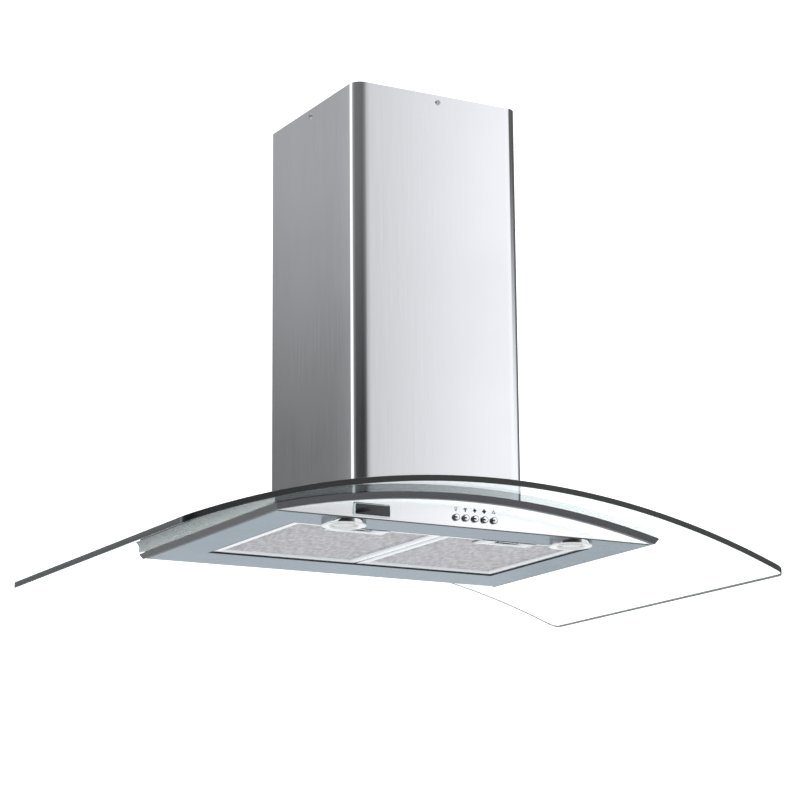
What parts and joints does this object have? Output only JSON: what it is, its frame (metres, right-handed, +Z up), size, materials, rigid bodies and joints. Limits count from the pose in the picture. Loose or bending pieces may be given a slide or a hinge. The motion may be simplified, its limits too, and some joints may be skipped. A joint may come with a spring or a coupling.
{
  "type": "island range hood",
  "caption": "Ceiling-hung island cooker hood: telescopic square steel flue on an arched glass canopy with drop-down grease filters, lamps, push buttons and a centrifugal blower.",
  "frame": {"origin": "centre of the ceiling bracket's top face, the face that meets the ceiling", "axes": "+Z up to the ceiling, -Y the front with the push buttons, +X to the right as seen from the front and along the glass's long side"},
  "size_m": [0.9, 0.582, 0.6685],
  "materials": {
    "flue_steel": "satin brushed stainless steel, grain running up the flue",
    "body_steel": "satin brushed stainless steel, grain running across the canopy",
    "front_steel": "fine brushed stainless steel, nearly mirror bright",
    "galvanised_steel": "galvanised sheet steel with a faint spangle",
    "screw_steel": "plated steel",
    "canopy_glass": "clear toughened glass with polished edges, faintly green",
    "dark_trim": "dark grey satin paint",
    "black_rubber": "matt rubber",
    "badge_plate": "glossy black with a thin silver border",
    "black_plastic": "moulded, fine texture",
    "grey_plastic": "moulded, fine texture",
    "white_plastic": "smooth moulded can",
    "white_ceramic": "glazed ceramic",
    "copper_winding": "enamelled copper windings on a laminated core",
    "motor_steel": "zinc plated motor can",
    "lamp_chrome": "polished chrome",
    "frosted_glass": "frosted lens",
    "bulb_glass": "clear reflector lamp",
    "button_chrome": "polished chrome plate",
    "filter_aluminium": "bright anodised aluminium",
    "filter_mesh": "expanded aluminium mesh",
    "latch_aluminium": "bright aluminium"
  },
  "bodies": {
    "ceiling_section": {"ceiling_bracket": "galvanised_steel", "ceiling_frame": "galvanised_steel", "upper_flue": "flue_steel", "upper_flue_screws": "screw_steel"},
    "hood": {"lower_flue": "flue_steel", "flue_screws": "screw_steel", "lower_frame": "galvanised_steel", "height_bolts": "screw_steel", "motor_box": "galvanised_steel", "motor_box_divider": "galvanised_steel", "motor_box_lid": "galvanised_steel", "support_rails": "galvanised_steel", "glass_clamps": "galvanised_steel", "frame_screws": "screw_steel", "glass_canopy": "canopy_glass", "glass_gaskets": "black_rubber", "canopy_shell": "body_steel", "front_panel": "front_steel", "bottom_panel": "body_steel", "arch_trim": "dark_trim", "badge": "badge_plate", "switch_housing": "black_plastic", "transformer": "black_plastic", "junction_box": "black_plastic", "cable_gland": "black_plastic", "wiring_loom": "black_rubber", "capacitor": "white_plastic", "volute_scroll": "galvanised_steel", "volute_cover": "galvanised_steel", "motor_bracket": "galvanised_steel", "motor_grommets": "black_rubber", "motor_can": "motor_steel", "motor_stator": "copper_winding", "outlet_collar": "grey_plastic", "damper_pin": "screw_steel", "filter_hinge_rod": "screw_steel", "lamp_bezel_left": "lamp_chrome", "lamp_bezel_right": "lamp_chrome", "lamp_lens_left": "frosted_glass", "lamp_lens_right": "frosted_glass", "lamp_bulb_left": "bulb_glass", "lamp_bulb_right": "bulb_glass", "lamp_socket_left": "white_ceramic", "lamp_socket_right": "white_ceramic"},
    "fan": {"motor_rotor": "motor_steel", "motor_shaft": "screw_steel", "fan_wheel": "grey_plastic"},
    "flap_rear": {"damper_flap_rear": "grey_plastic"},
    "flap_front": {"damper_flap_front": "grey_plastic"},
    "button_lamp": {"button_lamp": "button_chrome"},
    "button_stop": {"button_stop": "button_chrome"},
    "button_low": {"button_low": "button_chrome"},
    "button_medium": {"button_medium": "button_chrome"},
    "button_high": {"button_high": "button_chrome"},
    "filter_left": {"filter_frame_left": "filter_aluminium", "filter_mesh_left": "filter_mesh"},
    "latch_left": {"filter_latch_left": "latch_aluminium"},
    "filter_right": {"filter_frame_right": "filter_aluminium", "filter_mesh_right": "filter_mesh"},
    "latch_right": {"filter_latch_right": "latch_aluminium"}
  },
  "joints": [
    {"name": "height_adjust", "type": "slide", "parent": "ceiling_section", "child": "hood", "axis": [0, 0, -1], "range_m": [0, 0.3]},
    {"name": "fan_spin", "type": "hinge", "parent": "hood", "child": "fan", "pos_m": [-0.008, 0, -0.456], "axis": [0, 1, 0], "continuous": true},
    {"name": "flap_rear_hinge", "type": "hinge", "parent": "hood", "child": "flap_rear", "pos_m": [0, 0, -0.262], "axis": [1, 0, 0], "range_deg": [0, 80]},
    {"name": "flap_front_hinge", "type": "hinge", "parent": "hood", "child": "flap_front", "pos_m": [0, 0, -0.262], "axis": [-1, 0, 0], "range_deg": [0, 80]},
    {"name": "button_lamp_press", "type": "slide", "parent": "hood", "child": "button_lamp", "axis": [0, 1, 0], "range_m": [0, 0.003], "stiffness_N_per_m": 400, "springref_m": -0.001},
    {"name": "button_stop_press", "type": "slide", "parent": "hood", "child": "button_stop", "axis": [0, 1, 0], "range_m": [0, 0.003], "stiffness_N_per_m": 400, "springref_m": -0.001},
    {"name": "button_low_press", "type": "slide", "parent": "hood", "child": "button_low", "axis": [0, 1, 0], "range_m": [0, 0.003], "stiffness_N_per_m": 400, "springref_m": -0.001},
    {"name": "button_medium_press", "type": "slide", "parent": "hood", "child": "button_medium", "axis": [0, 1, 0], "range_m": [0, 0.003], "stiffness_N_per_m": 400, "springref_m": -0.001},
    {"name": "button_high_press", "type": "slide", "parent": "hood", "child": "button_high", "axis": [0, 1, 0], "range_m": [0, 0.003], "stiffness_N_per_m": 400, "springref_m": -0.001},
    {"name": "filter_left_hinge", "type": "hinge", "parent": "hood", "child": "filter_left", "pos_m": [-0.114, 0.112, -0.62], "axis": [1, 0, 0], "range_deg": [0, 80]},
    {"name": "filter_right_hinge", "type": "hinge", "parent": "hood", "child": "filter_right", "pos_m": [0.114, 0.112, -0.62], "axis": [1, 0, 0], "range_deg": [0, 80]},
    {"name": "latch_left_slide", "type": "slide", "parent": "filter_left", "child": "latch_left", "axis": [0, 1, 0], "range_m": [0, 0.005], "stiffness_N_per_m": 300, "springref_m": -0.003},
    {"name": "latch_right_slide", "type": "slide", "parent": "filter_right", "child": "latch_right", "axis": [0, 1, 0], "range_m": [0, 0.005], "stiffness_N_per_m": 300, "springref_m": -0.003}
  ]
}
